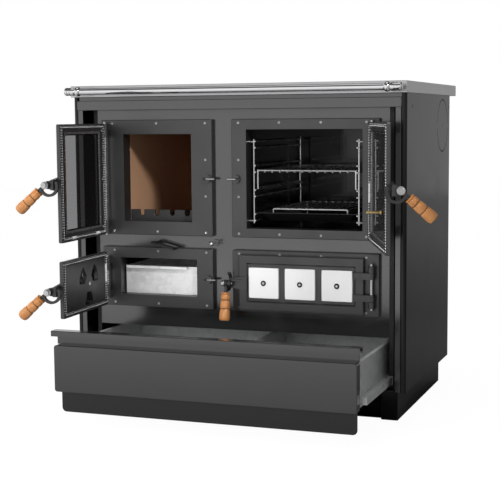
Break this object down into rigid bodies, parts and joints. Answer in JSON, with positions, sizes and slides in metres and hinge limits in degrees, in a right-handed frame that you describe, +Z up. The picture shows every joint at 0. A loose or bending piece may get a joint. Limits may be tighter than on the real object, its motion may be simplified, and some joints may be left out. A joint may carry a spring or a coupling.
{
  "type": "wood cook stove",
  "caption": "Free-standing wood-fired kitchen stove with glazed firebox and oven doors, ash pan, tiled door, log drawer, steel-framed hob and towel rail.",
  "frame": {"origin": "middle of the underside of the plinth's floor tray, on the floor", "axes": "+X to the right seen from the front, +Y to the back, +Z up"},
  "size_m": [1.042, 0.9708, 0.85],
  "materials": {
    "case_black": "satin black stove paint",
    "plate_grey": "matt dark grey stove paint",
    "cast_grey": "cast iron with matt dark grey stove paint",
    "steel": "plain bright steel",
    "stainless": "brushed stainless steel",
    "chrome": "polished chrome plate",
    "firebrick": "sandy tan fire brick",
    "galvanised": "galvanised sheet steel",
    "enamel_black": "gloss black enamel",
    "glass": "clear heat-proof glass",
    "white_glaze": "white gloss glaze",
    "brass": "plain brass",
    "rope": "braided glass-fibre rope",
    "beech": "stained and lacquered beech"
  },
  "bodies": {
    "stove_body": {"side_panel_left": "case_black", "side_panel_right": "case_black", "front_surround": "case_black", "core_sheets": "case_black", "front_plate": "plate_grey", "firebox_frame": "cast_grey", "oven_frame": "cast_grey", "ash_frame": "cast_grey", "tile_frame": "cast_grey", "frame_screws": "steel", "steel_pins": "steel", "hob_frame": "stainless", "hob_plate": "cast_grey", "towel_rail": "chrome", "rear_panel": "case_black", "flue_collar": "steel", "plinth": "case_black", "firebox_shell": "plate_grey", "firebricks": "firebrick", "log_bar": "cast_grey", "bottom_grate": "cast_grey", "oven_box": "enamel_black", "oven_racks": "chrome", "drawer_runners": "steel"},
    "hob_lid": {"hob_lid": "cast_grey"},
    "shaker_lever": {"shaker_lever": "steel"},
    "shaker_grate": {"shaker_grate": "cast_grey"},
    "air_knob": {"air_knob": "chrome"},
    "ash_pan": {"ash_pan": "galvanised"},
    "oven_shelf": {"oven_shelf": "chrome"},
    "baking_tray": {"baking_tray": "enamel_black", "tray_grid": "chrome"},
    "log_drawer": {"drawer_front": "enamel_black", "drawer_grip": "enamel_black", "drawer_box": "galvanised", "kick_panel": "case_black"},
    "firebox_door": {"firebox_door": "cast_grey", "firebox_glass": "glass", "firebox_door_fittings": "steel", "firebox_rope": "rope"},
    "oven_door": {"oven_door": "cast_grey", "oven_glass": "glass", "oven_door_fittings": "steel", "oven_thermometer": "brass", "oven_rope": "rope"},
    "ash_door": {"ash_door": "cast_grey", "ash_door_fittings": "steel", "ash_rope": "rope"},
    "air_rosette": {"air_rosette": "enamel_black"},
    "tile_door": {"tile_door": "cast_grey", "door_tiles": "white_glaze", "tile_door_fittings": "steel"},
    "firebox_handle": {"firebox_claw": "cast_grey", "firebox_grip": "beech"},
    "oven_handle": {"oven_claw": "cast_grey", "oven_grip": "beech"},
    "ash_handle": {"ash_claw": "cast_grey", "ash_grip": "beech"},
    "tile_handle": {"tile_claw": "cast_grey", "tile_grip": "beech"}
  },
  "joints": [
    {"name": "firebox_door_hinge", "type": "hinge", "parent": "stove_body", "child": "firebox_door", "pos_m": [-0.365, -0.313, 0.607], "axis": [0, 0, -1], "range_deg": [-88, 15]},
    {"name": "firebox_handle_turn", "type": "hinge", "parent": "firebox_door", "child": "firebox_handle", "pos_m": [-0.37438, -0.61751, 0.6057], "axis": [-0.0349, 0.9994, 0], "range_deg": [-39, 36]},
    {"name": "oven_door_hinge", "type": "hinge", "parent": "stove_body", "child": "oven_door", "pos_m": [0.3584, -0.313, 0.607], "axis": [0, 0, 1], "range_deg": [-111, 10]},
    {"name": "oven_handle_turn", "type": "hinge", "parent": "oven_door", "child": "oven_handle", "pos_m": [0.51189, -0.65705, 0.6057], "axis": [0.3584, -0.9336, 0], "range_deg": [-39, 36]},
    {"name": "ash_door_hinge", "type": "hinge", "parent": "stove_body", "child": "ash_door", "pos_m": [-0.365, -0.313, 0.34525], "axis": [0, 0, -1], "range_deg": [-88, 15]},
    {"name": "ash_handle_turn", "type": "hinge", "parent": "ash_door", "child": "ash_handle", "pos_m": [-0.37438, -0.61751, 0.34395], "axis": [-0.0349, 0.9994, 0], "range_deg": [-39, 36]},
    {"name": "tile_door_hinge", "type": "hinge", "parent": "stove_body", "child": "tile_door", "pos_m": [0.3584, -0.313, 0.34525], "axis": [0, 0, 1], "range_deg": [0, 110]},
    {"name": "tile_handle_turn", "type": "hinge", "parent": "tile_door", "child": "tile_handle", "pos_m": [-0.0178, -0.333, 0.34395], "axis": [-1, 0, 0], "range_deg": [0, 75]},
    {"name": "air_rosette_turn", "type": "hinge", "parent": "ash_door", "child": "air_rosette", "pos_m": [-0.36443, -0.44406, 0.34525], "axis": [0.9994, 0.0349, 0], "range_deg": [-22, 38]},
    {"name": "log_drawer_slide", "type": "slide", "parent": "stove_body", "child": "log_drawer", "axis": [0, -1, 0], "range_m": [-0.24, 0.1]},
    {"name": "ash_pan_slide", "type": "slide", "parent": "stove_body", "child": "ash_pan", "axis": [0, -1, 0], "range_m": [0, 0.15]},
    {"name": "oven_shelf_slide", "type": "slide", "parent": "stove_body", "child": "oven_shelf", "axis": [0, -1, 0], "range_m": [0, 0.2]},
    {"name": "baking_tray_slide", "type": "slide", "parent": "stove_body", "child": "baking_tray", "axis": [0, -1, 0], "range_m": [0, 0.2]},
    {"name": "air_knob_slide", "type": "slide", "parent": "stove_body", "child": "air_knob", "axis": [0, -1, 0], "range_m": [0, 0.025]},
    {"name": "hob_lid_lift", "type": "slide", "parent": "stove_body", "child": "hob_lid", "axis": [0, 0, 1], "range_m": [0, 0.03]},
    {"name": "shaker_lever_swing", "type": "hinge", "parent": "stove_body", "child": "shaker_lever", "pos_m": [-0.2205, -0.288, 0.44], "axis": [0, -1, 0], "range_deg": [0, 24]},
    {"name": "shaker_grate_slide", "type": "slide", "parent": "stove_body", "child": "shaker_grate", "axis": [-1, 0, 0], "range_m": [0, 0.02033]}
  ],
  "couplings": [
    {"joint": "shaker_grate_slide", "follows": "shaker_lever_swing", "m_per_rad": 0.048511}
  ]
}
